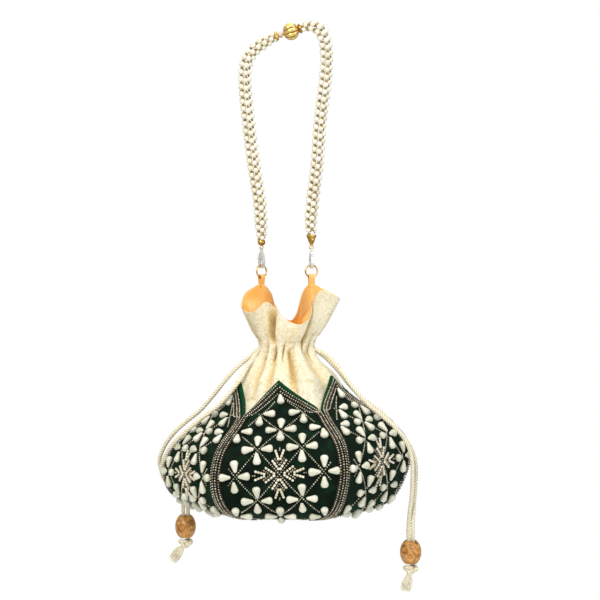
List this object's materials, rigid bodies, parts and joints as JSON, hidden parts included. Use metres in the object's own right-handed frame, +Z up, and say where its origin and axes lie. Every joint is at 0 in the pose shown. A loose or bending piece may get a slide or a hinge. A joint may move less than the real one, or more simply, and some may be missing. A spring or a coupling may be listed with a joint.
{
  "type": "potli bag",
  "caption": "Drawstring potli bag with beaded velvet petal panels, a gathered brocade collar, a pearl strand strap on clasps and rings, and bead-weighted drawcords.",
  "frame": {"origin": "where a hook or a hand carries the strap, just under the gold ball", "axes": "+Z up, against gravity as the bag hangs; +Y away from the front panel; +X to the viewer's right"},
  "size_m": [0.2244, 0.1948, 0.4839],
  "materials": {
    "velvet": "deep green cut-pile velvet",
    "brocade": "cream brocade with fine gold vines",
    "satin": "orange gold satin",
    "gold": "gold plated",
    "silver": "bright nickel plate",
    "pearl": "ivory pearl coating",
    "pale_bead": "pale translucent bead",
    "cord": "twisted cream cord",
    "wood": "varnished wood bead"
  },
  "bodies": {
    "strap": {"strand_left_1": "pearl", "strand_left_2": "pearl", "strand_left_3": "pearl", "strand_left_4": "pearl", "strand_left_5": "pearl", "strand_right_1": "pearl", "strand_right_2": "pearl", "strand_right_3": "pearl", "strand_right_4": "pearl", "strand_right_5": "pearl", "end_cap_left": "gold", "end_cap_right": "gold", "gather_cup_left": "gold", "gather_cup_right": "gold", "pale_bead": "pale_bead", "strap_core": "cord"},
    "ball": {"melon_ball": "gold"},
    "clasp_left_body": {"clasp_left": "silver"},
    "lever_left_body": {"clasp_lever_left": "silver"},
    "ring_left_body": {"ring_left": "gold"},
    "clasp_right_body": {"clasp_right": "silver"},
    "lever_right_body": {"clasp_lever_right": "silver"},
    "ring_right_body": {"ring_right": "gold"},
    "bag": {"velvet_panel_1": "velvet", "velvet_panel_2": "velvet", "velvet_panel_3": "velvet", "velvet_panel_4": "velvet", "velvet_panel_5": "velvet", "velvet_panel_6": "velvet", "velvet_base": "velvet", "brocade_collar": "brocade", "satin_lining": "satin", "lining_base": "satin", "ring_tab_left": "satin", "ring_tab_right": "satin", "knot_left": "cord", "knot_right": "cord", "tail_left": "cord", "tail_right": "cord", "cord_left_outer": "cord", "cord_left_inner": "cord", "cord_right_front": "cord", "cord_right_back": "cord"},
    "wood_bead_left_body": {"wood_bead_left": "wood"},
    "wood_bead_right_body": {"wood_bead_right": "wood"}
  },
  "joints": [
    {"name": "ball_spin", "type": "hinge", "parent": "strap", "child": "ball", "pos_m": [0.0038, 0, 0.0055], "axis": [0.9511, 0, 0.309], "continuous": true},
    {"name": "clasp_left_swing", "type": "hinge", "parent": "strap", "child": "clasp_left_body", "pos_m": [-0.0212, 0, -0.1785], "axis": [1, 0, 0], "range_deg": [-20, 20]},
    {"name": "ring_left_swing", "type": "hinge", "parent": "clasp_left_body", "child": "ring_left_body", "pos_m": [-0.0212, 0, -0.193], "axis": [1, 0, 0], "range_deg": [-20, 20]},
    {"name": "bag_swing", "type": "hinge", "parent": "ring_left_body", "child": "bag", "pos_m": [-0.0212, 0, -0.2034], "axis": [1, 0, 0], "range_deg": [-15, 15]},
    {"name": "clasp_right_swing", "type": "hinge", "parent": "strap", "child": "clasp_right_body", "pos_m": [0.0212, 0, -0.1785], "axis": [1, 0, 0], "range_deg": [-20, 20]},
    {"name": "ring_right_swing", "type": "hinge", "parent": "bag", "child": "ring_right_body", "pos_m": [0.0212, 0, -0.2034], "axis": [1, 0, 0], "range_deg": [-15, 15]},
    {"name": "lever_left_open", "type": "hinge", "parent": "clasp_left_body", "child": "lever_left_body", "pos_m": [-0.02261, 0.00169, -0.18705], "axis": [-0.766, -0.6428, 0], "range_deg": [0, 20], "stiffness_Nm_per_rad": 0.004, "springref_deg": -5.73},
    {"name": "lever_right_open", "type": "hinge", "parent": "clasp_right_body", "child": "lever_right_body", "pos_m": [0.02063, 0.00213, -0.18705], "axis": [-0.9659, -0.2588, 0], "range_deg": [0, 20], "stiffness_Nm_per_rad": 0.004, "springref_deg": -5.73},
    {"name": "wood_bead_left_slide", "type": "slide", "parent": "bag", "child": "wood_bead_left_body", "axis": [0, 0, 1], "range_m": [0, 0.008]},
    {"name": "wood_bead_right_slide", "type": "slide", "parent": "bag", "child": "wood_bead_right_body", "axis": [0, 0, 1], "range_m": [0, 0.008]}
  ],
  "couplings": [
    {"joint": "clasp_right_swing", "follows": "clasp_left_swing", "ratio": 1},
    {"joint": "ring_right_swing", "follows": "bag_swing", "ratio": -1}
  ]
}
